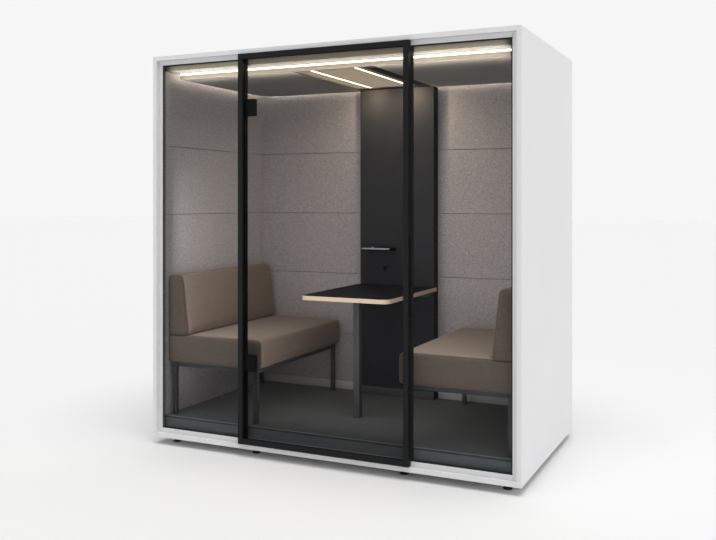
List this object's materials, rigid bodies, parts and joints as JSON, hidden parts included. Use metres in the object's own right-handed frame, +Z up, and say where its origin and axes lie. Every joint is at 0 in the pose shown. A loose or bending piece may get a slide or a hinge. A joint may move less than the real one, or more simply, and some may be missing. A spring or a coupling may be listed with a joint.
{
  "type": "acoustic office pod",
  "caption": "Freestanding acoustic office pod with a white casing, glazed front with a black-framed swing door, felt walls, facing upholstered benches, a fixed table and a lit ceiling raft",
  "frame": {"origin": "on the ground under the middle of the pod's bounding box", "axes": "+X to the right seen from the door side, +Y into the pod from the door, +Z up"},
  "size_m": [2.24, 1.248, 2.315],
  "materials": {
    "casing_white": "matt white lacquered board",
    "frame_white": "white powder coat",
    "frame_black": "black powder coat",
    "glass_clear": "clear laminated glass",
    "glass_door": "lightly tinted laminated glass",
    "pin_steel": "ground steel",
    "seal_black": "matt rubber",
    "platform_grey": "dark grey board",
    "carpet_grey": "dark grey carpet tile",
    "felt_grey": "warm grey acoustic felt",
    "column_anthracite": "matt anthracite laminate",
    "shelf_black": "black powder coat",
    "socket_black": "black plastic",
    "raft_felt": "pressed acoustic felt board",
    "absorber_dark": "dark pressed acoustic felt",
    "light_lens": "warm white light diffuser",
    "fan_black": "black moulded plastic",
    "grille_white": "white moulded plastic",
    "table_dark": "dark laminate on plywood",
    "tube_black": "black powder coated tube",
    "upholstery_taupe": "taupe woven wool upholstery",
    "foot_black": "black moulded foot"
  },
  "bodies": {
    "pod": {"side_panel_left": "casing_white", "side_panel_right": "casing_white", "roof_panel": "casing_white", "base_panel": "casing_white", "back_panel": "casing_white", "front_frame_left": "frame_white", "front_frame_right": "frame_white", "front_frame_bottom": "frame_white", "front_frame_top": "frame_white", "jamb_post_hinge": "frame_black", "jamb_post_latch": "frame_black", "fixed_glass_left": "glass_clear", "fixed_glass_right": "glass_clear", "hinge_frame_leaf_lower": "frame_black", "hinge_frame_leaf_upper": "frame_black", "hinge_pin_lower": "pin_steel", "hinge_pin_upper": "pin_steel", "floor_platform": "platform_grey", "floor_carpet": "carpet_grey", "wall_felt_left": "felt_grey", "wall_felt_right": "felt_grey", "wall_felt_back_left": "felt_grey", "wall_felt_back_right": "felt_grey", "media_column": "column_anthracite", "column_shelf": "shelf_black", "power_socket": "socket_black", "ceiling_raft": "raft_felt", "ceiling_centre_panel": "column_anthracite", "raft_edge_light": "light_lens", "strip_light_left": "light_lens", "strip_light_right": "light_lens", "fan_housing": "fan_black", "roof_grille": "grille_white", "ceiling_absorber": "absorber_dark", "table_top": "table_dark", "table_leg": "tube_black", "table_bracket": "tube_black", "bench_frame_left": "tube_black", "bench_frame_right": "tube_black", "seat_cushion_left": "upholstery_taupe", "seat_cushion_right": "upholstery_taupe", "backrest_left": "upholstery_taupe", "backrest_right": "upholstery_taupe", "levelling_foot_front_a": "foot_black", "levelling_foot_front_b": "foot_black", "levelling_foot_front_c": "foot_black", "levelling_foot_front_d": "foot_black", "levelling_foot_back_a": "foot_black", "levelling_foot_back_b": "foot_black", "levelling_foot_back_c": "foot_black", "levelling_foot_back_d": "foot_black"},
    "door": {"door_stile_hinge": "frame_black", "door_stile_latch": "frame_black", "door_rail_bottom": "frame_black", "door_rail_top": "frame_black", "door_glass": "glass_door", "door_seal": "seal_black", "hinge_door_leaf_lower": "frame_black", "hinge_door_leaf_upper": "frame_black"},
    "fan": {"fan_impeller": "fan_black"}
  },
  "joints": [
    {"name": "door_swing", "type": "hinge", "parent": "pod", "child": "door", "pos_m": [-0.503, -0.601, 0.532], "axis": [0, 0, -1], "range_deg": [0, 100]},
    {"name": "fan_spin", "type": "hinge", "parent": "pod", "child": "fan", "pos_m": [0.56, 0.014, 2.275], "axis": [0, 0, 1], "continuous": true}
  ]
}
